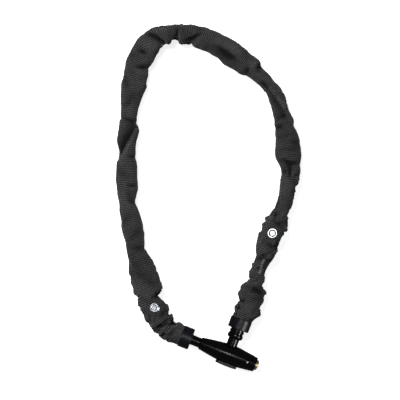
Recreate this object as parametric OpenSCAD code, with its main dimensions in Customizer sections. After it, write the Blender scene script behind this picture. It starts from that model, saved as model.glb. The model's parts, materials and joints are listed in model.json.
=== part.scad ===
// Chain lock for a bicycle: a link chain inside a woven sleeve, closed by a T-shaped
// cylinder lock. The lock lies flat, with +Z up and its base on Z = 0.
// The key barrel holds one end of the chain for good. The other end carries a locking
// pin, which slides out of the barrel's side when the key has drawn the bolt back.

/* [Chain] */
// Diameter of the link wire
wire_d = 4.5; // [4:0.25:5]
// Inner width of a link
link_inner_w = 5.5; // [5.5:0.25:7]
// Inner length of a link
link_inner_l = 35.4; // [35.3:0.05:35.5]
// Play at each end of a link
link_play = 0.4; // [0.35:0.05:0.45]

/* [Sleeve] */
// Outside width and height of the woven sleeve
sleeve_w = 25; // [24:0.5:27]
// Thickness of the gathered fabric
sleeve_wall = 1; // [0.8:0.1:1.2]
// Gap between one length of sleeve and the next
sleeve_gap = 3; // [2.5:0.25:4]

/* [Lock] */
// Largest diameter of the barrel
barrel_d = 23.8; // [22:0.2:24.5]
// Wall of the barrel's cover
cover_wall = 1.6; // [1.2:0.1:2]
// Diameter of the locking pin inside the barrel
pin_d = 10; // [9:0.25:10]
// Diameter of the neck that shows between the barrel and the collar
neck_d = 12.5; // [12:0.25:13]
// Diameter of the two end collars
collar_d = 25; // [24:0.5:25]
// Travel of the bolt in a quarter turn of the key
bolt_travel = 2; // [1.5:0.1:2.2]

/* [Hidden] */
$fn = 48;

// ---- Place of the lock ----
lock_at = [22.5, -180];   // where the pin's axis crosses the barrel's axis
lock_turn = -21.5;        // direction of the barrel's axis, from +X
axis_z = collar_d / 2;    // height of the barrel, the pin and the chain

// ---- Barrel, along its own axis from the crossing ----
barrel_left = -34.8;
barrel_right = 34;
barrel_middle = 2;        // where the barrel is thickest
left_tip_r = 6.9;
right_end_r = 8.3;
barrel_fullness = 1.3;    // power of the barrel's outline: 1 is a cone, 2 a parabola
end_round = 1.2;
gap = 0.05;               // between pieces that are pushed together
slide_gap = 0.15;         // around pieces that slide or turn

// ---- Chain ----
links = 23;
left_pin_at = -56;        // along the barrel's axis
right_pin_at = 41;        // along the locking pin's axis
link_r = (link_inner_w + wire_d) / 2;          // radius of a link's end, to its wire's centre
flat_pitch = link_inner_l - wire_d - 2 * link_play;
standing_pitch = link_inner_l + wire_d;

// The way the closed chain lies, from the locking pin round to the barrel's left end
route_points = [
    [43, -127], [50, -108], [57, -86], [66, -58], [78, -29], [88, -3], [93, 20], [93, 40],
    [91, 60], [88, 80], [83, 101], [73, 123], [57, 142], [36, 158], [12, 174], [-12, 186],
    [-36, 190], [-58, 182], [-76, 164], [-85, 140], [-89, 112], [-93, 70], [-95, 28],
    [-92, -10], [-85, -48], [-76, -86], [-66, -118], [-51, -144]
];
steps_per_span = 8;

// ---- Press studs on the sleeve ----
stud_at = 107;            // along the chain from the locking pin
socket_at = 755;

function point_on_barrel(along, out = 0) =
    lock_at + along * [cos(lock_turn), sin(lock_turn)] + out * [-sin(lock_turn), cos(lock_turn)];

// The curve between b and c, at t from 0 to 1, with a and d beyond them
function spline(a, b, c, d, t) =
    b + (c - a) * t / 2
    + (2 * a - 5 * b + 4 * c - d) * t * t / 2
    + (3 * b - a - 3 * c + d) * t * t * t / 2;

route_first = point_on_barrel(0, right_pin_at);
route_last = point_on_barrel(left_pin_at);
route_knots = concat(
    [point_on_barrel(0, right_pin_at - 15), route_first],
    route_points,
    [route_last, point_on_barrel(left_pin_at + 20)]
);
route_curve = [
    for (i = [1:len(route_knots) - 3], k = [0:steps_per_span - 1])
        spline(route_knots[i - 1], route_knots[i], route_knots[i + 1], route_knots[i + 2],
               k / steps_per_span),
    route_last,
    point_on_barrel(left_pin_at + 20)
];
function span(i) = i + 1 < len(route_curve) ? norm(route_curve[i + 1] - route_curve[i]) : 0;
route_s = [for (i = 0, s = 0; i < len(route_curve); s = s + span(i), i = i + 1) s];
route_x = [for (i = [0:len(route_s) - 1]) [route_s[i], route_curve[i].x]];
route_y = [for (i = [0:len(route_s) - 1]) [route_s[i], route_curve[i].y]];
function route(s) = [lookup(s, route_x), lookup(s, route_y)];
function heading(s) = let (d = route(s + 1.5) - route(s - 1.5)) atan2(d.y, d.x);

// Distance along the route at which a straight piece of the given length ends
function chord_end(from, length, guess, tries = 6) =
    tries == 0 ? guess
    : chord_end(from, length, guess + length - norm(route(guess) - route(from)), tries - 1);
function link_pitch(i) = i % 2 == 1 ? flat_pitch : standing_pitch;

// Hinge i is where link i ends; hinge 0 is the pin in the right collar
hinge_s = [
    for (i = 0, s = 0; i <= links;
         i = i + 1, s = chord_end(s, link_pitch(i), s + link_pitch(i))) s
];
hinges = [for (s = hinge_s) route(s)];

// ---- Lengths of sleeve ----
// Each rides on a flat link and covers part of the standing links beside it.
sleeves = (links + 1) / 2;
sleeve_first = 7.6;       // where the sleeve starts, past each end hinge
sleeve_sides = 12;
sleeve_ring_gap = 16;
sleeve_split = 0.36;      // where on a standing link one length ends and the next starts
function split_s(i) = hinge_s[i - 1] + sleeve_split * (hinge_s[i] - hinge_s[i - 1]);
function sleeve_start(i) = i == 1 ? sleeve_first : split_s(2 * i - 2) + sleeve_gap / 2;
function sleeve_end(i) = i == sleeves ? hinge_s[links] - sleeve_first : split_s(2 * i) - sleeve_gap / 2;

two_digits = function (i) i < 10 ? str("0", i) : str(i);
function link_name(i) = str("link_", two_digits(i));
function sleeve_name(i) = str("sleeve_", two_digits(i));

// ---------- Frames and shared shapes ----------

// The lock's own frame: X along the barrel to the key end, Y along the locking pin
module in_lock() {
    translate([lock_at.x, lock_at.y, axis_z]) rotate([0, 0, lock_turn]) children();
}

// Turns a profile drawn as [radius, distance] about the barrel's axis
module turned_along_x(profile, fn = 64) {
    rotate([90, 0, 90]) rotate_extrude($fn = fn) polygon(profile);
}

// Turns a profile drawn as [radius, distance] about the locking pin's axis
module turned_along_y(profile, fn = 64) {
    rotate([-90, 0, 0]) rotate_extrude($fn = fn) polygon(profile);
}

module rod_x(d, from, to) {
    translate([from, 0, 0]) rotate([0, 90, 0]) cylinder(d = d, h = to - from);
}

module rod_y(d, from, to) {
    translate([0, from, 0]) rotate([-90, 0, 0]) cylinder(d = d, h = to - from);
}

module rod_z(d, from, to) {
    translate([0, 0, from]) cylinder(d = d, h = to - from);
}

// Outside radius of the barrel at a place along it, less an inset
function barrel_r(x, inset = 0) =
    let (end_r = x < barrel_middle ? left_tip_r : right_end_r)
    let (half = x < barrel_middle ? barrel_middle - barrel_left : barrel_right - barrel_middle)
    let (taper = pow(abs(x - barrel_middle) / half, barrel_fullness))
    barrel_d / 2 - (barrel_d / 2 - end_r) * taper - inset;

function barrel_outline(from, to, inset, steps) =
    [for (i = [0:steps]) let (x = from + (to - from) * i / steps) [barrel_r(x, inset), x]];

// ---------- Barrel ----------

cylinder_d = 12.4;        // the cylinder's housing
plug_d = 9.6;
plug_head_d = 12.2;
cylinder_from = 11.5;     // the inner end of the housing
cam_from = 13;
cam_to = 20.5;
cam_d = 9.6;
cam_bore = 6.4;
bolt_d = 6.1;
bolt_nose = 4;            // side of the bolt's square nose
bolt_back = 5.4;          // where the nose ends when it is drawn back
peg_d = 2;
peg_at = 16.5;            // where the bolt's peg stands when the bolt is drawn back
pin_tip = -8.5;
neck_from = 9.7;          // where the neck starts on the pin
groove_w = 5;
groove_d = 6;
shank_d = 11.5;
shank_spigot_d = 8;
shank_spigot_to = -13;
core_left = -31;
core_right = 29.5;
roll_pin_d = 1.6;
shank_pin_d = 3;
shank_pin_at = -21;
cylinder_pin_at = 24;

module barrel_cover() {
    color("#0c0c0e") in_lock() difference() {
        turned_along_x(concat(
            [[0, barrel_left], [left_tip_r - end_round, barrel_left],
             [left_tip_r - 0.35, barrel_left + 0.4]],
            barrel_outline(barrel_left + end_round, barrel_right - end_round, 0, 26),
            [for (a = [20:20:80]) [right_end_r - end_round * (1 - cos(a)) + 0.1,
                                   barrel_right - end_round * (1 - sin(a))]],
            [[right_end_r - end_round, barrel_right], [0, barrel_right]]
        ), 96);
        turned_along_x(concat(
            [[0, core_left - gap]],
            barrel_outline(core_left - gap, core_right + gap, cover_wall, 14),
            [[0, core_right + gap]]
        ), 96);
        rod_x(shank_d + 2 * gap, barrel_left - 1, core_left);
        rod_x(plug_head_d + 2 * slide_gap, core_right, barrel_right + 1);
        rod_y(neck_d + 2 * slide_gap, 5, barrel_d);
        translate([cylinder_pin_at, 0, 0]) rod_z(roll_pin_d + 2 * gap, 0, barrel_d);
    }
}

bore_cover_l = 25;
bore_cover_w = 11;
bore_cover_out = 14;      // its outer face, from the barrel's axis
bore_cover_rim = 1.5;     // how far its edge reaches in behind the barrel's thickest line
bore_cover_crown = 160;   // radius of its crowned face
bore_cover_corner = 3;
module bore_cover() {
    t = bore_cover_out - barrel_d / 2 + bore_cover_rim;
    color("#101013") in_lock() translate([barrel_middle, 0, 0]) difference() {
        rotate([90, 0, 0]) translate([0, 0, bore_cover_out - t]) intersection() {
            hull() for (x = [-1, 1], y = [-1, 1]) translate([
                x * (bore_cover_l / 2 - bore_cover_corner),
                y * (bore_cover_w / 2 - bore_cover_corner),
                0
            ]) cylinder(r = bore_cover_corner, h = t, $fn = 32);
            translate([0, 0, t - bore_cover_crown]) sphere(r = bore_cover_crown, $fn = 96);
        }
        turned_along_x(concat(
            [[0, -bore_cover_l]],
            [for (x = [-15:2.5:15]) [barrel_r(x + barrel_middle) + gap, x]],
            [[0, bore_cover_l]]
        ), 96);
    }
}

module barrel_core() {
    color("#8b8d90") in_lock() difference() {
        turned_along_x(concat(
            [[0, core_left]],
            barrel_outline(core_left, core_right, cover_wall + gap, 14),
            [[0, core_right]]
        ), 96);
        rod_x(shank_spigot_d + 2 * gap, core_left - 1, shank_spigot_to + 0.5);
        rod_x(cylinder_d + 2 * gap, cylinder_from, core_right + 1);
        rod_y(pin_d + 2 * slide_gap, pin_tip - 0.5, barrel_d);
        translate([0, -bolt_nose / 2 - slide_gap, -bolt_nose / 2 - slide_gap])
            cube([cylinder_from + 1, bolt_nose + 2 * slide_gap, bolt_nose + 2 * slide_gap]);
        translate([shank_pin_at, 0, 0]) rod_z(shank_pin_d + 2 * gap, -barrel_d, barrel_d);
        translate([cylinder_pin_at, 0, 0]) rod_z(roll_pin_d + 2 * gap, 0, barrel_d);
        rod_y(neck_d + 2 * slide_gap, neck_from - 0.2, barrel_d);
    }
}

// ---------- Cylinder lock ----------

housing_lip = 1.2;
module cylinder_housing() {
    color("#c9a24a") in_lock() difference() {
        rod_x(cylinder_d, cylinder_from, core_right);
        rod_x(plug_d + 2 * slide_gap, cylinder_from + housing_lip, core_right + 1);
        rod_x(bolt_d + 2 * slide_gap, cylinder_from - 1, cylinder_from + housing_lip + 1);
        translate([cylinder_pin_at, 0, 0])
            rod_z(roll_pin_d + 2 * gap, plug_d / 2 + slide_gap + 0.3, cylinder_d);
    }
}

plug_from = 20.8;
plug_to = 37;
keyway_w = 2.2;
keyway_h = 7.6;
keyway_depth = 15.6;
wafers = 4;
wafer_t = 0.6;
wafer_w = 5.4;
wafer_h = 7.6;
wafer_pitch = 2;
wafer_first = 21.8;
window_w = 2.2;
window_h = 4.4;
spring_r = 0.35;          // to the middle of its wire
spring_wire = 0.2;
spring_l = 4.2;
spring_at = 3.6;          // from the plug's axis
spring_play = 0.15;       // its pocket around it, from the middle of its wire
function wafer_at(i) = wafer_first + (i - 1) * wafer_pitch;

module key_plug() {
    color("#d2ab55") in_lock() difference() {
        union() {
            rod_x(plug_d, plug_from, core_right + 1);
            turned_along_x(concat(
                [[0, core_right + 0.2], [plug_head_d / 2, core_right + 0.2]],
                [for (a = [0:15:75])
                    [plug_head_d / 2 - 1.6 * (1 - cos(a)), plug_to - 2.2 + 1.6 * sin(a)]],
                [[plug_head_d / 4, plug_to - 0.15], [0, plug_to]]
            ));
        }
        translate([plug_to - keyway_depth, -keyway_w / 2, -keyway_h / 2])
            cube([keyway_depth + 1, keyway_w, keyway_h]);
        translate([plug_to - 3, -keyway_w / 2 - 1, -keyway_w / 2])
            cube([4, keyway_w + 2, keyway_w]);
        for (i = [1:wafers]) translate([wafer_at(i) - wafer_t / 2 - gap, -wafer_w / 2 - gap, -plug_d])
            cube([wafer_t + 2 * gap, wafer_w + 2 * gap, 2 * plug_d]);
        for (i = [1:wafers]) translate([
            wafer_at(i) + wafer_pitch / 2 - spring_r - spring_play,
            spring_at - spring_r - spring_play,
            -spring_l / 2 - spring_play
        ]) cube([2 * (spring_r + spring_play), plug_d, spring_l + 2 * spring_play]);
    }
}

// Wafers at their height for an open lock, each with a window for the key
module tumblers() {
    color("#caa758") in_lock() for (i = [1:wafers]) difference() {
        translate([wafer_at(i) - wafer_t / 2, -wafer_w / 2, -wafer_h / 2])
            cube([wafer_t, wafer_w, wafer_h]);
        translate([wafer_at(i) - wafer_t, -window_w / 2, -window_h / 2])
            cube([2 * wafer_t, window_w, window_h]);
    }
}

// A coil spring beside each wafer, in a pocket of the plug
spring_turns = 4;
spring_steps = 8;
spring_sides = 4;
module coil_spring() {
    rings = spring_turns * spring_steps;
    points = [
        for (i = [0:rings], k = [0:spring_sides - 1])
            let (turn = 360 * i / spring_steps, side = 360 * k / spring_sides)
            let (r = spring_r + spring_wire / 2 * cos(side))
            [r * cos(turn), r * sin(turn), spring_l * (i / rings - 0.5) + spring_wire / 2 * sin(side)]
    ];
    faces = concat(
        [[for (k = [0:spring_sides - 1]) k]],
        [for (i = [0:rings - 1], k = [0:spring_sides - 1], half = [0, 1])
            let (a = i * spring_sides + k, b = i * spring_sides + (k + 1) % spring_sides)
            half == 0 ? [a, a + spring_sides, b + spring_sides] : [a, b + spring_sides, b]],
        [[for (k = [spring_sides - 1:-1:0]) rings * spring_sides + k]]
    );
    polyhedron(points, faces);
}

module tumbler_springs() {
    color("#b8bcc0") in_lock() for (i = [1:wafers])
        translate([wafer_at(i) + wafer_pitch / 2, spring_at, 0]) coil_spring();
}

// A drum that turns with the plug. Its slanted slot pushes the bolt's peg along.
cam_slot_steps = 9;
module plug_cam() {
    color("#9a9ca0") in_lock() difference() {
        rod_x(cam_d, cam_from, cam_to);
        rod_x(cam_bore, cam_from - 1, cam_to + 1);
        for (i = [0:cam_slot_steps]) rotate([-90 * i / cam_slot_steps, 0, 0])
            translate([peg_at - bolt_travel * i / cam_slot_steps, 0, 0])
                rod_z(peg_d + 2 * slide_gap, 0, cam_d);
    }
}

// The clip that holds the drum on the plug's tail
module plug_clip() {
    color("#b9bbbf") in_lock() difference() {
        rod_x(cam_d - 0.4, cam_to + gap, plug_from - gap);
        rod_x(4, cam_to - 1, plug_from + 1);
        translate([cam_to - 1, -0.9, 0]) cube([3, 1.8, cam_d]);
    }
}

module locking_bolt() {
    color("#a8aaad") in_lock() {
        rod_x(bolt_d, cylinder_from + bolt_travel + 0.1, cam_to - 1.2);
        translate([bolt_back, -bolt_nose / 2, -bolt_nose / 2])
            cube([cylinder_from + bolt_travel + 1 - bolt_back, bolt_nose, bolt_nose]);
        translate([peg_at, 0, 0]) rod_z(peg_d, 0, cam_d / 2 - 0.2);
    }
}

module cylinder_roll_pin() {
    color("#5a5c60") in_lock() translate([cylinder_pin_at, 0, 0])
        rod_z(roll_pin_d, plug_d / 2 + slide_gap + 0.35, barrel_r(cylinder_pin_at) - 0.1);
}

// ---------- Fixed end of the chain ----------

collar_l = 11.7;
collar_hidden = 1;        // more of the collar under the sleeve's edge
skirt_l = 4;
skirt_d = 22.8;
collar_bore = 19.8;
collar_end_wall = 1.7;
collar_chamfer = 0.8;
link_pin_d = wire_d;
head_d = 15;
head_t = 1.4;

// A collar that starts at 0 and opens towards +Y. Its cross pin's hole stands at pin_at.
module collar(rod_d, pin_at) {
    r = collar_d / 2;
    full = collar_l + collar_hidden;
    difference() {
        turned_along_y([
            [0, 0], [r - collar_chamfer, 0], [r, collar_chamfer], [r, full - 0.4], [r - 0.4, full],
            [skirt_d / 2, full], [skirt_d / 2, full + skirt_l], [0, full + skirt_l]
        ], 96);
        rod_y(collar_bore, collar_end_wall, full + skirt_l + 1);
        rod_y(rod_d + 2 * gap, -1, collar_end_wall + 1);
        translate([0, pin_at, 0]) rod_z(link_pin_d + 2 * gap, -collar_d, r - 0.8);
    }
}

module link_pin() {
    rod_z(link_pin_d, -collar_d / 2 + 0.4, collar_d / 2 - 0.9);
}

left_collar_at = -45.3;
right_collar_at = 30.5;

module left_collar() {
    color("#15161a") in_lock() translate([left_collar_at, 0, 0]) rotate([0, 0, 90])
        collar(shank_d, left_collar_at - left_pin_at);
}

module left_link_pin() {
    color("#7d8085") in_lock() translate([left_pin_at, 0, 0]) link_pin();
}

// The shank that joins the barrel to the left collar, with a head inside the collar
module anchor_shank() {
    head_from = left_collar_at - collar_end_wall - gap;
    color("#101013") in_lock() difference() {
        union() {
            rod_x(head_d, head_from - head_t, head_from);
            rod_x(shank_d, head_from, core_left - gap);
            rod_x(shank_spigot_d, core_left - gap - 1, shank_spigot_to);
        }
        translate([shank_pin_at, 0, 0]) rod_z(shank_pin_d + 2 * gap, -barrel_d, barrel_d);
    }
}

module shank_roll_pin() {
    reach = sqrt(pow(barrel_r(shank_pin_at, cover_wall), 2) - pow(shank_pin_d / 2, 2)) - 0.2;
    color("#7d8085") in_lock() translate([shank_pin_at, 0, 0]) rod_z(shank_pin_d, -reach, reach);
}

// ---------- Locking pin and the free end of the chain ----------

module locking_pin() {
    head_from = right_collar_at + collar_end_wall + gap;
    r = pin_d / 2;
    color("#9fa1a5") in_lock() turned_along_y([
        [0, pin_tip], [r - 1.5, pin_tip], [r, pin_tip + 1.5], [r, -groove_w / 2],
        [groove_d / 2, -groove_w / 2], [groove_d / 2, groove_w / 2], [r, groove_w / 2],
        [r, head_from], [head_d / 2, head_from],
        [head_d / 2, head_from + head_t], [0, head_from + head_t]
    ], 96);
}

flange_from = 19.6;
flange_to = 25.2;
flange_d = 18;
step_d = 15.6;
ring_r = 8.5;             // a low ring round the stepped part
ring_from = 26.6;
ring_to = 28.8;
module neck_sleeve() {
    bead = (flange_to - flange_from) / 2;
    color("#0d0d10") in_lock() difference() {
        turned_along_y(concat(
            [[0, neck_from], [neck_d / 2, neck_from], [neck_d / 2, flange_from - 0.8]],
            [for (a = [-60:20:60])
                [flange_d / 2 - bead / 2 * (1 - cos(a)), flange_from + bead + bead * sin(a)]],
            [[step_d / 2, flange_to], [step_d / 2, ring_from], [ring_r, ring_from + 0.4],
             [ring_r, ring_to - 0.4], [step_d / 2, ring_to],
             [step_d / 2, right_collar_at - gap], [0, right_collar_at - gap]]
        ), 96);
        rod_y(pin_d + 2 * gap, neck_from - 1, right_collar_at + 1);
    }
}

module right_collar() {
    color("#15161a") in_lock() translate([0, right_collar_at, 0])
        collar(pin_d, right_pin_at - right_collar_at);
}

module right_link_pin() {
    color("#7d8085") in_lock() translate([0, right_pin_at, 0]) link_pin();
}

// ---------- Chain ----------

// A link along X, centred on the origin, lying flat
module flat_link() {
    straight = link_inner_l - link_inner_w;
    for (side = [-1, 1]) {
        translate([side * straight / 2, 0, 0]) rotate([0, 0, side * 90 - 180])
            rotate_extrude(angle = 180, $fn = 64) translate([link_r, 0]) circle(d = wire_d);
        translate([0, side * link_r, 0]) rod_x(wire_d, -straight / 2, straight / 2);
    }
}

// Odd links lie flat, even links stand on edge
module link(i) {
    a = hinges[i - 1];
    b = hinges[i];
    middle = (a + b) / 2;
    turn = i % 2 == 1 ? 0 : 90;
    color("#85888d") translate([middle.x, middle.y, axis_z])
        rotate([0, 0, atan2(b.y - a.y, b.x - a.x)]) rotate([turn, 0, 0]) flat_link();
}

// ---------- Sleeve ----------

// A tube swept along the route, with a flat underside
module sleeve_tube(from, to, r) {
    rings = max(2, ceil((to - from) / sleeve_ring_gap));
    corner_r = r / cos(180 / sleeve_sides);
    points = [
        for (i = [0:rings], k = [0:sleeve_sides - 1])
            let (s = from + (to - from) * i / rings, across = heading(s) - 90, at = route(s))
            let (side = 360 * (k + 0.5) / sleeve_sides, out = corner_r * cos(side))
            [at.x + out * cos(across), at.y + out * sin(across), axis_z + corner_r * sin(side)]
    ];
    faces = concat(
        [[for (k = [sleeve_sides - 1:-1:0]) k]],
        [for (i = [0:rings - 1], k = [0:sleeve_sides - 1])
            let (next = (k + 1) % sleeve_sides)
            [i * sleeve_sides + k, i * sleeve_sides + next,
             (i + 1) * sleeve_sides + next, (i + 1) * sleeve_sides + k]],
        [[for (k = [0:sleeve_sides - 1]) rings * sleeve_sides + k]]
    );
    polyhedron(points, faces);
}

module sleeve(i) {
    from = sleeve_start(i);
    to = sleeve_end(i);
    color("#37383b") difference() {
        sleeve_tube(from, to, sleeve_w / 2);
        sleeve_tube(from - 0.5, to + 0.5, sleeve_w / 2 - sleeve_wall);
        for (s = [stud_at, socket_at]) if (s > from && s < to)
            on_sleeve(s) cylinder(d = post_d + 2 * slide_gap, h = 4, center = true);
    }
}

// ---------- Press studs ----------

post_d = 1.6;
washer_d = 6;
washer_t = 0.6;
stud_base_d = 11;
stud_base_t = 0.8;
stud_d = 8.6;
stud_h = 2;
socket_d = 12;
socket_h = 1.8;
socket_mouth_d = 5.6;

// The top of the sleeve at a distance along the route
module on_sleeve(s) {
    at = route(s);
    translate([at.x, at.y, axis_z + sleeve_w / 2]) rotate([0, 0, heading(s)]) children();
}

module snap_stud() {
    color("#b4b6ba") on_sleeve(stud_at) {
        rotate_extrude() polygon([
            [0, 0], [stud_base_d / 2, 0], [stud_base_d / 2, stud_base_t - 0.3],
            [stud_base_d / 2 - 0.4, stud_base_t], [stud_d / 2 - 0.5, stud_base_t],
            [stud_d / 2 - 0.3, stud_base_t + 0.5], [stud_d / 2, stud_base_t + 1],
            [stud_d / 2 - 0.5, stud_base_t + stud_h - 0.4], [stud_d / 2 - 1.6, stud_base_t + stud_h],
            [0, stud_base_t + stud_h]
        ]);
        rod_z(post_d, -sleeve_wall - 0.05, 0.1);
    }
}

module rivet_washer() {
    translate([0, 0, -sleeve_wall - washer_t - 0.05]) cylinder(d = washer_d, h = washer_t);
}

module snap_stud_rivet() {
    color("#8e9094") on_sleeve(stud_at) rivet_washer();
}

module snap_socket() {
    color("#b4b6ba") on_sleeve(socket_at) {
        rotate_extrude() polygon([
            [0, 0], [socket_d / 2, 0], [socket_d / 2, 0.5], [socket_d / 2 - 0.3, socket_h - 0.6],
            [socket_d / 2 - 1.3, socket_h], [socket_mouth_d / 2 + 0.7, socket_h],
            [socket_mouth_d / 2, socket_h - 0.5], [socket_mouth_d / 2, 0.5], [0, 0.5]
        ]);
        rod_z(post_d, -sleeve_wall - 0.05, 0.1);
    }
}

module snap_socket_rivet() {
    color("#8e9094") on_sleeve(socket_at) rivet_washer();
}

barrel_cover();
bore_cover();
barrel_core();
cylinder_housing();
key_plug();
tumblers();
tumbler_springs();
plug_cam();
plug_clip();
locking_bolt();
cylinder_roll_pin();
anchor_shank();
shank_roll_pin();
left_collar();
left_link_pin();
locking_pin();
neck_sleeve();
right_collar();
right_link_pin();
snap_stud();
snap_stud_rivet();
snap_socket();
snap_socket_rivet();
for (i = [1:links]) link(i);
for (i = [1:sleeves]) sleeve(i);
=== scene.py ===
"""A chain lock for a bicycle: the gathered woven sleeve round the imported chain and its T-shaped lock."""
import json
import math

import bpy
import numpy as np
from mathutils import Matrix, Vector, noise

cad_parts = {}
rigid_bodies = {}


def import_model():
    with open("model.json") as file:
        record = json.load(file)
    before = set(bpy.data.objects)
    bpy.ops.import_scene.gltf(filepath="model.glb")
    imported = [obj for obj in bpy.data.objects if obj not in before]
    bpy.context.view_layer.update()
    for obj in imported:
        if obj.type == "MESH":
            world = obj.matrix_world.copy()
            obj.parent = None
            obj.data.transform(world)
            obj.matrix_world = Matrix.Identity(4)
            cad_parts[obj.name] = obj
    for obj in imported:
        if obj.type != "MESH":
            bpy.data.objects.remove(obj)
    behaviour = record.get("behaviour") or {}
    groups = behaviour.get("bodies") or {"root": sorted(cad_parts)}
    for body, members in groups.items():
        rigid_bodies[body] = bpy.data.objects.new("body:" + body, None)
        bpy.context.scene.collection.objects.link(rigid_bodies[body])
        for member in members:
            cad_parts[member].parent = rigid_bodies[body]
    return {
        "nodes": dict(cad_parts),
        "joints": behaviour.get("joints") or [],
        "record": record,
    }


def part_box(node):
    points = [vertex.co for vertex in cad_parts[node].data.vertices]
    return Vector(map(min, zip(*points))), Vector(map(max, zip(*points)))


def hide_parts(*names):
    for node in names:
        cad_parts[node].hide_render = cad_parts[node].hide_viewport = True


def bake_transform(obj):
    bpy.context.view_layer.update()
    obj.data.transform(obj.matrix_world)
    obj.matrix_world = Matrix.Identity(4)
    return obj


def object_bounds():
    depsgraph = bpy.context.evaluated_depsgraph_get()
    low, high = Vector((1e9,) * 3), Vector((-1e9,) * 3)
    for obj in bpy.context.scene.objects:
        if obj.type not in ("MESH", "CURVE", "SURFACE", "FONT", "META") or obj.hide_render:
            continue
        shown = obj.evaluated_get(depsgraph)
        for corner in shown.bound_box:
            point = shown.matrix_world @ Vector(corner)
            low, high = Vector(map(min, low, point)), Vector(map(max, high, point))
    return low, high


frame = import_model()
cad_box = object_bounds()

MM = 0.001
LINKS = 23
OPEN_PIVOT = 13             # links 12 and 13 are hooked in one another here, with no joint

# ---------- The sleeve's shape --------------------------

# How far the sleeve reaches from the chain's line, in mm: (along the chain from the locking
# pin, reach to the inside of the loop, reach to the outside). One row for each bulge and pinch.
REACH = [
    (2, 12, 12), (8, 10.5, 14.5), (13, 12.5, 16.8), (21, 12, 16.2), (33, 14.2, 16.2), (39, 13, 15.4),
    (43, 10.5, 12), (48, 7.3, 9), (56, 8.6, 6.9), (64, 8.2, 7.2), (72, 7.3, 7.6), (77, 7.5, 9.6),
    (81, 9.8, 11.4), (88, 11.6, 12.4), (98, 12.4, 11.6), (105, 12, 12), (116, 13.4, 12.9),
    (122, 12.6, 11.6), (127, 9.8, 10.2), (132, 7.7, 7.9), (142, 8.2, 8.2), (150, 8.2, 9),
    (158, 8.3, 9.9), (166, 10, 10.8), (171, 11.8, 10.4), (174, 10.8, 10.6), (178, 8.8, 11.3),
    (184, 9.6, 12.6), (192, 13.2, 13.2), (200, 15.4, 14.8), (207, 15.6, 15.4), (213, 13.8, 14.6),
    (225, 13.5, 12.2), (237, 12.8, 10.8), (242, 10.4, 8.6), (246, 8.2, 8.9), (257, 9.2, 10.2),
    (270, 8.1, 10.9), (278, 8.1, 10.2), (286, 7.9, 8), (299, 8.3, 7.9), (307, 9.4, 8.9),
    (312, 11.6, 11.8), (321, 13.3, 13.7), (333, 15, 14.4), (342, 15, 15.2), (352, 13.2, 14.4),
    (361, 13.5, 13.3), (373, 14.4, 11.6), (384, 13.4, 12.9), (389, 11.4, 12.9), (392, 9, 12.4),
    (395, 10.2, 11.6), (398, 12.8, 11), (403, 13.2, 10.4), (405, 11.4, 10), (407, 7.2, 9.6),
    (411, 6.4, 8.8), (416, 7.4, 9), (418, 10.6, 9.4), (420, 12.2, 9.7), (424, 12.2, 10.8),
    (426, 8.6, 11.4), (432, 9.8, 14.5), (446, 12.6, 15), (460, 14.5, 16.6),
    (467, 12.9, 16.1), (472, 12.2, 14.6), (479, 14, 13.4), (492, 15.5, 13.7), (499, 15.3, 12.6),
    (509, 12.6, 11.5), (517, 10.3, 11.5), (525, 8.1, 10.6), (532, 8.2, 9.7), (536, 8.8, 8.4),
    (541, 11.4, 10.8), (548, 12.9, 12.6), (557, 10.7, 12.6), (577, 10.5, 10), (584, 12.5, 11.1),
    (606, 12.9, 11.8), (612, 13.8, 12.4), (618, 12.8, 11.8), (623, 9.6, 10.5), (628, 8.1, 10.3),
    (640, 11.1, 10.9), (652, 12.6, 11.6), (668, 12.4, 11.7), (677, 10.9, 12.1), (686, 8.5, 11.6),
    (691, 10.2, 11.6), (699, 13.9, 13), (710, 16.3, 14.6), (723, 17.4, 14.6), (732, 16.6, 14.7),
    (738, 14.8, 14.3), (745, 12.4, 14.8), (752, 12, 14.7), (761, 13.1, 15.1), (767, 11.8, 15),
    (772, 10.6, 15.1), (776, 13.4, 15), (778, 12.8, 14.8), (781, 8.2, 14.2), (786, 7.8, 13.6),
    (791, 11.4, 12.8), (796, 11.6, 12), (802, 12, 12),
]

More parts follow.
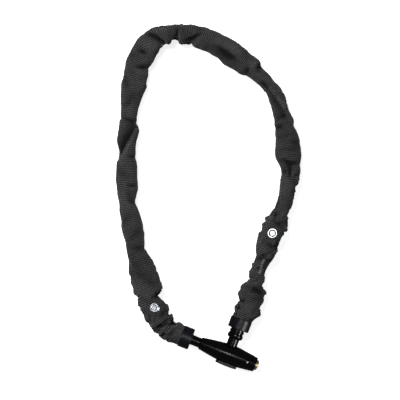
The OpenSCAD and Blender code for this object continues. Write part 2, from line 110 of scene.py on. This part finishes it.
# Creases and ridges on the upper side, in mm: (along and across at one end, along and across
# at the other, depth, width). Across is positive to the inside of the loop. A negative depth
# is a ridge that stands up. A seventh value makes one side broad and the other steep: positive
# is broad to the inside.
FOLDS = [
    (13, 12, 14, 7, 1.6, 3), (22, 11, 23, 5, 2, 2.6), (38, 0, 38, -12, 2.4, 3), (34, -14, 28, -6, 1.2, 4),
    (46, 9, 50, 3, 1.2, 2.5), (75, 9, 75, -10, 1.6, 3), (80, -3, 80, -9, -0.8, 2.5),
    (93, 0, 93, -10, 2.2, 2.6), (97, -2, 97, -9, -0.9, 3), (119, -8, 119, 2, 2.6, 3.5),
    (131, 2, 128, 8, 1.4, 3), (137, 7, 150, 5, 1, 3), (153, -9, 160, -7, 2, 3.5),
    (164, -10, 170, -5, 1.2, 3),
    (172, 0, 191, 0, 2.4, 2.4), (179, 8, 184, 4, 1.8, 3.5), (195, 7, 191, -8, 3.2, 3, -0.6),
    (206, 9, 206, -9, 1, 2.6), (214, -4, 212, -13, 1.4, 3), (222, 10, 222, -6, 0.9, 2.6),
    (234, 12, 234, 3, 2.2, 3), (243, 8, 247, -6, 1.4, 4), (240, -9, 278, 2, -1.4, 3.2),
    (246, -4, 282, 4, 2.2, 4, 0.9), (284, 3, 292, 5, 3, 2.4), (307, -9, 303, -3, 1.8, 3.4),
    (317, 4, 312, 8, 2.4, 3.4), (322, -6, 330, -12, 1, 4), (335, 2, 357, 2, 3, 5, 0.8),
    (334, -6, 349, -7, -1.4, 3.5), (366, 12, 372, 4, 1, 4), (385, -2, 396, 7, 3.4, 2.6, 0.5),
    (389, -12, 384, -4, 1, 4), (401, 3, 401, -6, 0.8, 3), (412, 9, 409, -4, 2.6, 2.4),
    (427, 8, 436, -10, 3.8, 2.6, 0.5),
    (443, 10, 447, -2, -1, 4), (455, -5, 455, 2, 2.4, 2.6), (464, -15, 462, -8, 1.2, 4),
    (474, 1, 470, 12, 3.2, 2.6, 0.6), (480, 4, 480, 13, -0.8, 3), (487, -12, 500, -4, 1.2, 4),
    (505, 8, 509, -3, 1.2, 4), (521, -8, 512, 2, 1.4, 3.5), (534, -6, 537, 8, 1.8, 3),
    (541, 9, 579, -9, 3.4, 4.2, -0.9), (546, 11, 584, -6, -1.2, 2.4), (579, 11, 577, 5, 1.6, 2.6),
    (593, -8, 600, 0, 1, 4), (611, 3, 612, 12, 2.4, 2.6), (618, 2, 626, 4, 1.4, 4), (632, 8, 628, 3, 2, 3),
    (645, 4, 651, -9, 1, 4), (664, 9, 672, -2, 1.2, 4), (687, 9, 682, -2, 1.8, 3.6),
    (697, -10, 705, -2, 1, 4), (718, 6, 712, -8, 1.1, 5), (728, 12, 724, 2, 1.2, 4),
    (744, 3, 745, 13, 3, 2.8), (741, -9, 747, -5, 1, 3), (765, 8, 767, 2, 1.6, 3),
    (772, -10, 772, 5, -1, 2.4),
    (775, -10, 775, 5, 1.4, 2.4), (782, 4, 786, 10, 2.4, 3), (789, -10, 790, 0, 1, 3),
]

# Pale printed dashes on the upper side: from and to along the chain, in mm
PRINT = [(58.5, 62.5), (63.5, 69), (70, 75.5)]
PRINT_AT = -1.6 * MM
PRINT_WIDTH = 2.6 * MM

RIB = 2.0 * MM              # from one rib of the weave to the next
RIB_HEIGHT = 0.17 * MM
CLOTH = 0.6 * MM            # thickness of the fabric
GIRTH = 76 * MM             # round the sleeve
COLUMNS = 80                # round the sleeve
RINGS_PER_RIB = 4
THREAD = 2.4                # mm of the girth in one repeat of the weave's pattern
SIM_GAP = 3.2 * MM          # between rings of the simulated cloth
SIM_COLUMNS = 32
SIM_FRAMES = 22
GATHER_SHOWN = 1.4          # how much of the cloth's own gathers is kept
GATHER_LIMIT = 2.2 * MM
LINK_FACE = 8.1 * MM        # half of a link's width, with the fabric's inner side on it
LINK_EDGE = 3.6 * MM        # half of its thickness, the same way
CAMERA_HEIGHT = 3
CAMERA_SENSOR = 36
VIEW_WIDTH = 0.46


def smoothstep(t):
    """0 up to t = 0, 1 from t = 1, and smooth between them."""
    t = np.clip(t, 0, 1)
    return t * t * (3 - 2 * t)


# ---------- The chain's line, from the joints ----------

joints = {j["name"]: j for j in frame["joints"]}


def middle_of(node):
    """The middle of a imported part's box."""
    low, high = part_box(node)
    return (low + high) / 2


pin_way = np.array(joints["pin_slide"]["axis"])[:2]
key_way = np.array(joints["key_turn"]["axis"])[:2]
# Where each link touches the next, seen from above. A link's middle is halfway between its ends.
hinges = [np.array(joints["chain_hinge_01"]["pos_m"])[:2]]
for i in range(1, LINKS + 1):
    hinges.append(2 * np.array(middle_of(f"link_{i:02d}"))[:2] - hinges[-1])


def curve_through(points, steps=24):
    """Points on the smooth curve through all but the first and last of the given ones."""
    found = []
    for a, b, c, d in zip(points, points[1:], points[2:], points[3:]):
        for t in np.arange(steps) / steps:
            found.append(
                b + (c - a) * t / 2
                + (2 * a - 5 * b + 4 * c - d) * t * t / 2
                + (3 * b - a - 3 * c + d) * t ** 3 / 2
            )
    return np.array(found + [points[-2]])


line = curve_through([hinges[0] - 15 * MM * pin_way, *hinges, hinges[-1] + 20 * MM * key_way])
line = np.vstack([line[0] - 12 * MM * pin_way, line, line[-1] + 12 * MM * key_way])
line_s = np.concatenate([[0], np.cumsum(np.linalg.norm(np.diff(line, axis=0), axis=1))]) - 12 * MM
chain_end = line_s[-1] - 12 * MM
hinge_s = [line_s[np.argmin(np.linalg.norm(line - h, axis=1))] for h in hinges]
axis_z = joints["chain_hinge_01"]["pos_m"][2]


def place(s):
    """The chain's line, seen from above, at distances s along it."""
    return np.stack([np.interp(s, line_s, line[:, 0]), np.interp(s, line_s, line[:, 1])], -1)


def travel(s):
    """The direction of the line at distances s along it."""
    way = place(s + 2.5 * MM) - place(s - 2.5 * MM)
    return way / np.linalg.norm(way, axis=-1, keepdims=True)


def leftward(s):
    """The direction across the line at distances s, to the inside of the loop."""
    along = travel(s)
    return np.stack([-along[:, 1], along[:, 0]], -1)


def across_line(points, s):
    """How far points stand from the chain's line, seen from above. Positive is inside the loop."""
    return ((points[..., :2] - place(s)[:, None]) * leftward(s)[:, None]).sum(-1)


def distance_along(point):
    """How far along the chain's line a point lies."""
    return line_s[np.argmin(np.linalg.norm(line - np.array(point)[:2], axis=1))]


sleeve_from = 2.3 * MM
sleeve_to = chain_end - 1.7 * MM
stud = middle_of("snap_stud")
socket = middle_of("snap_socket")
snap_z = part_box("snap_stud_rivet")[1].z + 1.05 * MM


# ---------- Sleeve ----------


def reach(s, column):
    """The reach of the sleeve at distances s, between its rows in REACH, softened a little."""
    rows = np.array(REACH) * MM
    total = 0
    for shift, weight in ((-1.2 * MM, 0.25), (0, 0.5), (1.2 * MM, 0.25)):
        total = total + weight * np.interp(s + shift, rows[:, 0], rows[:, column])
    return total


def base_shape(s, angle):
    """Points of the plain sleeve on a grid of distances and angles. 0 is the loop's outside, 90 is up."""
    inner, outer = reach(s, 1), reach(s, 2)
    half, shift = (inner + outer) / 2, (inner - outer) / 2
    top = np.clip(25.2 * MM - 0.75 * (half - 11 * MM), 20.8 * MM, 25 * MM)
    for snap in (stud, socket):
        near = smoothstep(1.6 - np.abs(s - distance_along(snap)) / (11 * MM))
        top = top + near * (snap_z - top)
    ends = smoothstep(1 - (s - sleeve_from) / (9 * MM)) + smoothstep(1 - (sleeve_to - s) / (9 * MM))
    foot = ends * 0.5 * MM
    top = top + ends * (2 * axis_z - foot - top)
    squareness = 2 / (2.5 - 0.5 * ends)
    left = leftward(s)
    across, up = -np.cos(angle), np.sin(angle)
    across = np.sign(across) * np.abs(across) ** squareness[:, None]
    up = np.sign(up) * np.abs(up) ** squareness[:, None]
    offset = shift[:, None] + half[:, None] * across
    xy = place(s)[:, None] + offset[..., None] * left[:, None]
    z = (foot + top)[:, None] / 2 + (top - foot)[:, None] / 2 * up
    return np.concatenate([xy, z[..., None]], -1)


def cubic(values, at, wrap=False):
    """Smooth values between the rows of an array, at fractional row numbers."""
    i = np.floor(at).astype(int)
    t = (at - i).reshape((-1,) + (1,) * (values.ndim - 1))

    def row(k):
        return values[k % len(values)] if wrap else values[np.clip(k, 0, len(values) - 1)]

    a, b, c, d = row(i - 1), row(i), row(i + 1), row(i + 2)
    curve = (c - a) * t + (2 * a - 5 * b + 4 * c - d) * t * t + (3 * b - a - 3 * c + d) * t ** 3
    return b + curve / 2


def grid_normals(points):
    """Outward normals of a grid that closes round its second direction."""
    along = np.gradient(points, axis=0)
    around = np.roll(points, -1, axis=1) - np.roll(points, 1, axis=1)
    normal = np.cross(along, around)
    return normal / np.maximum(np.linalg.norm(normal, axis=-1, keepdims=True), 1e-12)


def sleeve_grid(count, columns):
    """The distances of the sleeve's rings, and the angles of its columns."""
    s = np.linspace(sleeve_from, sleeve_to, count)
    return s, (np.arange(columns) + 0.5) / columns * 2 * np.pi


def tube_cells(count, columns):
    """The ring and column number of each cell of a grid that closes round its second direction."""
    return np.meshgrid(np.arange(count - 1), np.arange(columns), indexing="ij")


def tube_faces(count, columns):
    """The four corners of each cell of such a grid."""
    ring, column = tube_cells(count, columns)
    after = (column + 1) % columns
    corners = [ring * columns + column, (ring + 1) * columns + column,
               (ring + 1) * columns + after, ring * columns + after]
    return np.stack(corners, -1).reshape(-1, 4)


def grid_mesh(name, points):
    """A mesh of one open tube, from a grid of points."""
    mesh = bpy.data.meshes.new(name)
    mesh.from_pydata(points.reshape(-1, 3).tolist(), [], tube_faces(*points.shape[:2]).tolist())
    return mesh


def simulated(points, hold):
    """The grid after a cloth simulation: the fabric is a little longer than its place, so it gathers."""
    bpy.context.scene.frame_set(1)
    cloth = bpy.data.objects.new("cloth", grid_mesh("cloth", points))
    bpy.context.collection.objects.link(cloth)
    group = cloth.vertex_groups.new(name="hold")
    for index, weight in enumerate(hold.ravel()):
        group.add([index], float(weight), "REPLACE")
    modifier = cloth.modifiers.new("Cloth", "CLOTH")
    settings = modifier.settings
    settings.quality = 5
    settings.mass = 0.25
    settings.tension_stiffness = settings.compression_stiffness = 25
    settings.shear_stiffness = 8
    settings.bending_stiffness = 0.12
    settings.air_damping = 2
    settings.vertex_group_mass = "hold"
    settings.pin_stiffness = 1
    settings.shrink_min = -0.09
    settings.effector_weights.gravity = 0.3
    modifier.collision_settings.use_collision = False
    modifier.point_cache.frame_end = SIM_FRAMES
    for step in range(1, SIM_FRAMES + 1):
        bpy.context.scene.frame_set(step)
    seen = cloth.evaluated_get(bpy.context.evaluated_depsgraph_get())
    moved = np.empty(points.size)
    seen.data.vertices.foreach_get("co", moved)
    bpy.context.scene.frame_set(1)
    bpy.data.objects.remove(cloth)
    return moved.reshape(points.shape)


def gathered_shape():
    """How the cloth's own gathers move the plain sleeve, on the simulation's grid."""
    count = int((sleeve_to - sleeve_from) / SIM_GAP)
    s, angle = sleeve_grid(count, SIM_COLUMNS)
    plain = base_shape(s, angle)
    hold = np.full(plain.shape[:2], 0.05)
    ends = np.minimum(s - sleeve_from, sleeve_to - s)
    hold = np.maximum(hold, smoothstep(1 - (ends - 5 * MM) / (8 * MM))[:, None])
    for snap in (stud, socket):
        away = np.linalg.norm(plain - np.array([snap.x, snap.y, snap_z]), axis=-1)
        hold = np.maximum(hold, smoothstep(1 - (away - 9 * MM) / (8 * MM)))
    move = simulated(plain, hold) - plain
    # only the gathers are kept: a move that seven rings share would change the sleeve's outline
    shared = sum(np.roll(move, k, axis=0) for k in range(-3, 4)) / 7
    move = GATHER_SHOWN * (move - shared)
    size = np.linalg.norm(move, axis=-1, keepdims=True)
    return move * GATHER_LIMIT / np.maximum(size, GATHER_LIMIT)


def pressed(points, s):
    """The grid with its creases and ridges, and with small uneven wrinkles."""
    across = across_line(points, s)
    press = np.zeros(points.shape[:2])
    for s0, y0, s1, y1, depth, width, *lean in FOLDS:
        ax, ay, bx, by = (v * MM for v in (s0, y0, s1, y1))
        rows = np.abs(s - (ax + bx) / 2) < abs(bx - ax) / 2 + 4 * width * MM
        x, y = np.broadcast_to(s[rows, None], across[rows].shape) - ax, across[rows] - ay
        length = (bx - ax) ** 2 + (by - ay) ** 2
        t = np.clip((x * (bx - ax) + y * (by - ay)) / length, 0, 1)
        away = np.hypot(x - t * (bx - ax), y - t * (by - ay)) / (width * MM)
        if lean:
            side = (y * (bx - ax) - x * (by - ay)) / math.sqrt(length) / (0.25 * width * MM)
            away = away / (1 + 0.8 * lean[0] * np.tanh(side))
        strength = 1 - 0.45 * (2 * t - 1) ** 2
        press[rows] += depth * MM * strength * np.exp(-away ** 2)
    press *= smoothstep((points[..., 2] - 3 * MM) / (7 * MM))
    return points - grid_normals(points) * press[..., None], press


def wrinkles(points, sizes):
    """Soft uneven wrinkles: (size in mm, height in mm), as heights on the grid."""
    height = np.zeros(points.shape[:2])
    for size, tall in sizes:
        for index in np.ndindex(height.shape):
            height[index] += tall * MM * noise.noise(Vector(points[index] / (size * MM)))
    return height


def clear_of_chain(points, s):
    """Keeps the fabric off the links: flat ones are wide, the ones between stand on edge."""
    link = np.clip(np.searchsorted(hinge_s, s, side="right"), 1, LINKS)
    flat = (link % 2 == 1)[:, None]
    across = points[..., :2] - place(s)[:, None]
    side = np.linalg.norm(across, axis=-1)
    rise = points[..., 2] - axis_z
    wide = np.where(flat, LINK_FACE, LINK_EDGE)
    tall = np.where(flat, LINK_EDGE, LINK_FACE)
    inside = (side / wide) ** 6 + (rise / tall) ** 6
    grow = np.maximum(1, inside ** (-1 / 6))
    found = points.copy()
    found[..., :2] += across * (grow - 1)[..., None]
    found[..., 2] = np.clip(axis_z + rise * grow, 0, None)
    return found


def round_snaps(points):
    """The fabric lies flat under each press stud."""
    found = points.copy()
    for snap in (stud, socket):
        away = np.linalg.norm(points[..., :2] - np.array(snap)[:2], axis=-1)
        near = smoothstep(1.9 - away / (6.4 * MM)) * (points[..., 2] > axis_z)
        found[..., 2] += near * (snap_z - CLOTH * 0.05 - found[..., 2])
    return found


def fine_sleeve():
    """(distances, points, depth of the creases) of the finished sleeve without its ribs."""
    count = int((sleeve_to - sleeve_from) / RIB * RINGS_PER_RIB)
    s, angle = sleeve_grid(count, COLUMNS)
    move = gathered_shape()
    coarse_count, coarse_columns = move.shape[:2]
    coarse_s, coarse_angle = sleeve_grid(coarse_count, coarse_columns)
    coarse = base_shape(coarse_s, coarse_angle)
    height = wrinkles(coarse, ((14, 0.9), (6, 0.5)))
    ends = smoothstep(np.minimum(coarse_s - sleeve_from, sleeve_to - coarse_s) / (14 * MM) - 0.4)
    move = move + grid_normals(coarse) * (height * ends[:, None])[..., None]
    rows = np.linspace(0, coarse_count - 1, count)
    columns = (angle / (2 * np.pi) * coarse_columns) - 0.5
    move = cubic(move, rows)
    move = np.swapaxes(cubic(np.swapaxes(move, 0, 1), columns, wrap=True), 0, 1)
    points, press = pressed(base_shape(s, angle) + move, s)
    points = clear_of_chain(points, s)
    points[..., 2] = np.maximum(points[..., 2], 0.35 * MM)
    return s, points, press


def print_on(s, points):
    """1 on the pale printed dashes of the upper side, 0 elsewhere."""
    across = across_line(points, s)
    shade = np.zeros(across.shape)
    for start, end in PRINT:
        along = smoothstep(np.minimum(s - start * MM, end * MM - s) / (0.5 * MM) + 0.5)
        side = smoothstep((PRINT_WIDTH / 2 - np.abs(across - PRINT_AT)) / (0.5 * MM) + 0.5)
        shade = np.maximum(shade, along[:, None] * side)
    return shade * (points[..., 2] > axis_z)


def ribbed(s, points):
    """The ribs of the weave, which run round the sleeve."""
    wave = np.cos(s / RIB * 2 * np.pi)
    ends = smoothstep(np.minimum(s - sleeve_from, sleeve_to - s) / (2 * MM))
    height = RIB_HEIGHT * wave * ends
    return points + grid_normals(points) * height[:, None, None]


# ---------- Materials ----------


def material(name):
    """A new material, its node tree's helper and its main shader."""
    made = bpy.data.materials.new(name)
    made.use_nodes = True
    tree = made.node_tree
    return made, tree, tree.nodes["Principled BSDF"]


def node(tree, kind, inputs=(), **settings):
    """A node with its settings, and with values or links on its numbered or named inputs."""
    made = tree.nodes.new("ShaderNode" + kind)
    for key, value in settings.items():
        setattr(made, key, value)
    for key, value in dict(inputs).items():
        if isinstance(value, bpy.types.NodeSocket):
            tree.links.new(value, made.inputs[key])
        else:
            made.inputs[key].default_value = value
    return made


def maths(tree, operation, *values):
    """The result of one Math node."""
    return node(tree, "Math", dict(enumerate(values)), operation=operation).outputs[0]


def ramp(tree, factor, stops):
    """Colours along a factor: (place, grey or colour) for each stop."""
    made = node(tree, "ValToRGB", {0: factor})
    elements = made.color_ramp.elements
    while len(elements) < len(stops):
        elements.new(0.5)
    for element, (at, colour) in zip(elements, stops):
        element.position = at
        element.color = (*((colour,) * 3 if isinstance(colour, float) else colour), 1)
    return made.outputs[0]


def noise_of(tree, vector, scale, detail=3.0, roughness=0.55):
    """Noise from 0 to 1."""
    return node(tree, "TexNoise", {"Vector": vector, "Scale": scale, "Detail": detail,
                                   "Roughness": roughness}).outputs["Fac"]


def fabric():
    """Charcoal ribbed weave with fine threads over the ribs. The crests of ribs and threads are painted
    lighter and their hollows darker (painted highlight and painted shade), the creases are painted darker
    (painted shade) and the raised folds paler (painted highlight).
    """
    made, tree, shader = material("sleeve_weave")
    uv = node(tree, "UVMap", uv_map="weave").outputs[0]
    parts = node(tree, "SeparateXYZ", {0: uv}).outputs
    around, along = parts[0], parts[1]
    place_in = node(tree, "TexCoord").outputs["Object"]
    wobble = noise_of(tree, place_in, 160.0)
    ribs = maths(tree, "ADD", along, maths(tree, "MULTIPLY", wobble, 0.12))
    rib = maths(tree, "COSINE", maths(tree, "MULTIPLY", ribs, 2 * math.pi))
    row = maths(tree, "FLOOR", maths(tree, "ADD", ribs, 0.5))
    threads = maths(tree, "ADD", maths(tree, "MULTIPLY", around, 1.25), maths(tree, "MULTIPLY", row, 0.38))
    thread = maths(tree, "COSINE", maths(tree, "MULTIPLY", threads, 2 * math.pi))
    fine = maths(tree, "COSINE", maths(tree, "MULTIPLY", around, 2 * math.pi * 3.2))
    raised = maths(tree, "ADD", maths(tree, "MULTIPLY", rib, 0.55), maths(tree, "MULTIPLY", thread, 0.3))
    raised = maths(tree, "ADD", raised, maths(tree, "MULTIPLY", fine, 0.15))
    level = maths(tree, "MULTIPLY_ADD", raised, 0.5, 0.5)
    speckle = noise_of(tree, place_in, 900.0, 2.0)
    patchy = noise_of(tree, place_in, 28.0)
    # Painted highlight and painted shade: the weave's colour is lighter on the crests of the ribs and
    # threads and darker in their hollows.
    colour = ramp(tree, level, [(0.15, (0.007, 0.007, 0.0075)), (0.5, (0.024, 0.024, 0.0245)),
                                (0.9, (0.078, 0.078, 0.079))])
    fade = ramp(tree, patchy, [(0.3, 0.74), (0.7, 1.22)])
    grain = ramp(tree, speckle, [(0.25, 0.62), (0.8, 1.35)])
    colour = node(tree, "Mix", {0: 1.0, 6: colour, 7: fade}, data_type="RGBA",
                  blend_type="MULTIPLY").outputs[2]
    colour = node(tree, "Mix", {0: 1.0, 6: colour, 7: grain}, data_type="RGBA",
                  blend_type="MULTIPLY").outputs[2]
    # Painted shade and painted highlight: the colour is darker where the creases are pressed in and paler
    # along the ridges that stand up.
    crease = node(tree, "Attribute", attribute_name="crease").outputs["Fac"]
    shade = ramp(tree, maths(tree, "MULTIPLY_ADD", crease, 0.25, 0.4),
                 [(0.0, 1.5), (0.4, 1.0), (0.95, 0.12)])
    colour = node(tree, "Mix", {0: 1.0, 6: colour, 7: shade}, data_type="RGBA",
                  blend_type="MULTIPLY").outputs[2]
    ink = maths(tree, "MULTIPLY", node(tree, "Attribute", attribute_name="print").outputs["Fac"],
                maths(tree, "MULTIPLY", level, 0.6))
    colour = node(tree, "Mix", {0: ink, 6: colour, 7: (0.4, 0.4, 0.4, 1)}, data_type="RGBA").outputs[2]
    tree.links.new(colour, shader.inputs["Base Color"])
    rough = ramp(tree, patchy, [(0.3, 0.94), (0.75, 0.8)])
    tree.links.new(rough, shader.inputs["Roughness"])
    height = maths(tree, "ADD", level, maths(tree, "MULTIPLY", speckle, 0.5))
    bump = node(tree, "Bump", {"Strength": 0.7, "Distance": 0.35 * MM, "Height": height})
    tree.links.new(bump.outputs[0], shader.inputs["Normal"])
    shader.inputs["Sheen Weight"].default_value = 0.12
    shader.inputs["Sheen Roughness"].default_value = 0.5
    shader.inputs["Specular IOR Level"].default_value = 0.25
    return made


def hard_surface(name, colour, rough, metal=0.0, grain=400.0, depth=0.02, shine=0.5, spread=0.06):
    """Metal or plastic with uneven gloss and a fine surface grain."""
    made, tree, shader = material(name)
    place_in = node(tree, "TexCoord").outputs["Object"]
    marks = noise_of(tree, place_in, 90.0, 5.0, 0.6)
    tint = [tuple(c * k for c in colour) for k in (0.82, 1.12)]
    tree.links.new(ramp(tree, marks, [(0.3, tint[0]), (0.7, tint[1])]), shader.inputs["Base Color"])
    gloss = ramp(tree, marks, [(0.3, max(0.02, rough - spread)), (0.75, rough + spread)])
    tree.links.new(gloss, shader.inputs["Roughness"])
    fine = noise_of(tree, place_in, grain, 4.0)
    bump = node(tree, "Bump", {"Strength": 0.35, "Distance": depth * MM, "Height": fine})
    tree.links.new(bump.outputs[0], shader.inputs["Normal"])
    shader.inputs["Metallic"].default_value = metal
    shader.inputs["Specular IOR Level"].default_value = shine
    return made


LOOKS = {
    "gloss_black": hard_surface("gloss_black", (0.0006, 0.0006, 0.0007), 0.2, grain=250.0, depth=0.001,
                                shine=0.35, spread=0.012),
    "satin_black": hard_surface("satin_black", (0.0022, 0.0026, 0.004), 0.4, grain=1500.0, depth=0.03),
    "brass": hard_surface("turned_brass", (0.74, 0.55, 0.26), 0.3, metal=1.0),
    "snap_metal": hard_surface("nickel", (0.62, 0.64, 0.68), 0.22, metal=1.0),
    "chain_steel": hard_surface("chain_steel", (0.42, 0.43, 0.45), 0.38, metal=1.0),
    "spring_steel": hard_surface("spring_steel", (0.5, 0.51, 0.53), 0.3, metal=1.0),
    "machined_steel": hard_surface("machined_steel", (0.5, 0.51, 0.53), 0.33, metal=1.0),
}
weave = fabric()


# ---------- Sleeve pieces ----------


# The places where two links touch that have a joint
bends = [i for i in range(1, LINKS + 2) if f"chain_hinge_{i:02d}" in joints]


def joint_zone(i):
    """(start, end) along the chain round chain hinge i."""
    if i == 1:
        return hinge_s[0] + 8 * MM, hinge_s[0] + 14 * MM
    if i > LINKS:
        return hinge_s[-1] - 14 * MM, hinge_s[-1] - 8 * MM
    return hinge_s[i - 1] - 11 * MM, hinge_s[i - 1] + 11 * MM


def stretches():
    """(start, end, hinge, its two bodies) of each piece of the sleeve.

    Two pieces meet at the open pivot, which has no joint to bend over.
    """
    cuts = [sleeve_from]
    for i, j in zip(bends, bends[1:]):
        middle = (joint_zone(i)[1] + joint_zone(j)[0]) / 2
        cuts.append(hinge_s[OPEN_PIVOT - 1] if i < OPEN_PIVOT < j else middle)
    for i, start, end in zip(bends, cuts, [*cuts[1:], sleeve_to]):
        joint = joints[f"chain_hinge_{i:02d}"]
        pair = (joint["parent"], joint["child"])
        yield start, end, i, pair if i < OPEN_PIVOT else pair[::-1]


def sleeve_piece(name, s, outer, inner, rows):
    """One closed length of fabric with its two faces and its cut ends."""
    first, last = rows
    columns = outer.shape[1]
    count = last - first + 1
    points = np.concatenate([grid[first:last + 1].reshape(-1, 3) for grid in (outer, inner)])
    quad = tube_faces(count, columns)
    back = quad[:, ::-1] + count * columns
    k = np.arange(columns)
    after_k = (k + 1) % columns
    start = np.stack([k, after_k, count * columns + after_k, count * columns + k], -1)
    shift = (count - 1) * columns
    end = start[:, ::-1] + shift
    faces = np.concatenate([quad, back, start, end])
    mesh = bpy.data.meshes.new(name)
    mesh.from_pydata(points.tolist(), [], faces.tolist())
    ring, column = tube_cells(count, columns)
    weave_u = np.arange(columns + 1) * GIRTH / columns / MM / THREAD
    weave_v = s[first:last + 1] / RIB
    column_u = np.stack([column, column, column + 1, column + 1], -1).reshape(-1, 4)
    ring_v = np.stack([ring, ring + 1, ring + 1, ring], -1).reshape(-1, 4)
    sheet_uv = np.stack([weave_u[column_u], weave_v[ring_v]], -1)
    rim_u = weave_u[np.stack([k, k + 1, k + 1, k], -1)]
    start_uv = np.stack([rim_u, np.full_like(rim_u, weave_v[0])], -1)
    end_uv = np.stack([rim_u[:, ::-1], np.full_like(rim_u, weave_v[-1])], -1)
    uv = np.concatenate([sheet_uv, sheet_uv[:, ::-1], start_uv, end_uv]).reshape(-1, 2)
    weave_layer = mesh.uv_layers.new(name="weave")
    weave_layer.data.foreach_set("uv", uv.ravel().astype(np.float32))
    mesh.polygons.foreach_set("use_smooth", [True] * len(mesh.polygons))
    piece = bpy.data.objects.new(name, mesh)
    bpy.context.collection.objects.link(piece)
    piece.data.materials.append(weave)
    return piece


def build_sleeve():
    """Makes the sleeve's pieces, each over one joint of the chain."""
    s, smooth, press = fine_sleeve()
    outer = round_snaps(ribbed(s, smooth))
    inner = outer - grid_normals(smooth) * CLOTH
    normals = grid_normals(outer)
    printed = print_on(s, outer)
    for number, (start, end, hinge, pair) in enumerate(stretches(), 1):
        first, last = (int(np.argmin(np.abs(s - v))) for v in (start, end))
        piece = sleeve_piece(f"sleeve_length_{number:02d}", s, outer, inner, (first, last))
        # The crease depth carries the painted shade of the creases and the painted highlight of the ridges
        # into the weave's colour.
        for name, values in (("crease", press / MM), ("print", printed)):
            layer = piece.data.attributes.new(name, "FLOAT", "POINT")
            layer.data.foreach_set("value", np.tile(values[first:last + 1].ravel(), 2).astype(np.float32))
        mine = normals[first:last + 1].reshape(-1, 3)
        piece.data.normals_split_custom_set_from_vertices(np.concatenate([mine, -mine]).tolist())
        zone = [Vector((*place(np.array([v]))[0], axis_z)) for v in joint_zone(hinge)]
        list(pair)
        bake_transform(piece)
        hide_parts(f"sleeve_{number:02d}")


build_sleeve()

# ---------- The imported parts' materials ----------

for part in frame["record"]["subparts"]:
    packed = frame["nodes"][part["node"]]
    packed.data.materials.clear()
    packed.data.materials.append(LOOKS.get(part["material_slot"], weave))

# ---------- Camera, light and floor ----------

centre = (cad_box[0] + cad_box[1]) / 2
aim = Vector((centre.x - 9 * MM, centre.y - 4.1 * MM, axis_z))
camera = bpy.data.objects.new("camera", bpy.data.cameras.new("camera"))
bpy.context.collection.objects.link(camera)
camera.location = aim + Vector((0, 0, CAMERA_HEIGHT))
camera.data.sensor_width = CAMERA_SENSOR
camera.data.lens = CAMERA_SENSOR * CAMERA_HEIGHT / VIEW_WIDTH
camera.data.clip_end = 20
bpy.context.scene.camera = camera


def lamp(name, at, size, power):
    """A square area lamp that points at the part."""
    made = bpy.data.objects.new(name, bpy.data.lights.new(name, "AREA"))
    bpy.context.collection.objects.link(made)
    made.data.shape = "RECTANGLE"
    made.data.size = made.data.size_y = size
    made.data.energy = power
    made.location = at
    made.rotation_euler = (aim - Vector(at)).to_track_quat("-Z", "Y").to_euler()
    return made


# Large lamps for the fabric, and small ones that only gloss and metal show. The long one hangs
# overhead in line with the barrel, so its reflection runs along it.
for name, at, size, power in (
    ("key", (-0.5, 0.75, 1.5), 0.5, 26),
    ("side", (-1.5, 0.3, 0.9), 0.6, 16),
    ("low", (1.1, 1.3, 0.6), 0.7, 9),
):
    lamp(name, aim + Vector(at), size, power).visible_glossy = False
for name, at, size, power in (
    ("spot", (-0.16, 0.16, 2.4), 0.16, 3),
    ("streak", (0.15, 0.06, 2.4), 1.3, 7),
    ("rim", (1.6, -0.7, 1.0), 0.6, 16),
):
    shown = lamp(name, aim + Vector(at), size, power)
    shown.visible_diffuse = False
    if name == "streak":
        shown.data.size_y = 0.26
        shown.rotation_euler = (0, 0, math.atan2(key_way[1], key_way[0]))

world = bpy.data.worlds.new("studio")
world.use_nodes = True
world.node_tree.nodes["Background"].inputs[0].default_value = (0.9, 0.93, 1, 1)
world.node_tree.nodes["Background"].inputs[1].default_value = 0.1
bpy.context.scene.world = world
bpy.context.scene.view_settings.view_transform = "Standard"


def floor():
    """A plain pale floor just under the part."""
    mesh = bpy.data.meshes.new("floor")
    mesh.from_pydata([(-4, -4, 0), (4, -4, 0), (4, 4, 0), (-4, 4, 0)], [], [(0, 1, 2, 3)])
    made = bpy.data.objects.new("floor", mesh)
    bpy.context.collection.objects.link(made)
    made.location.z = -0.2 * MM
    paper, tree, shader = material("paper")
    shader.inputs["Base Color"].default_value = (0.9, 0.9, 0.9, 1)
    shader.inputs["Roughness"].default_value = 0.9
    shader.inputs["Emission Color"].default_value = (1, 1, 1, 1)
    shader.inputs["Emission Strength"].default_value = 0.8
    mesh.materials.append(paper)
    made.visible_glossy = made.visible_diffuse = False


floor()
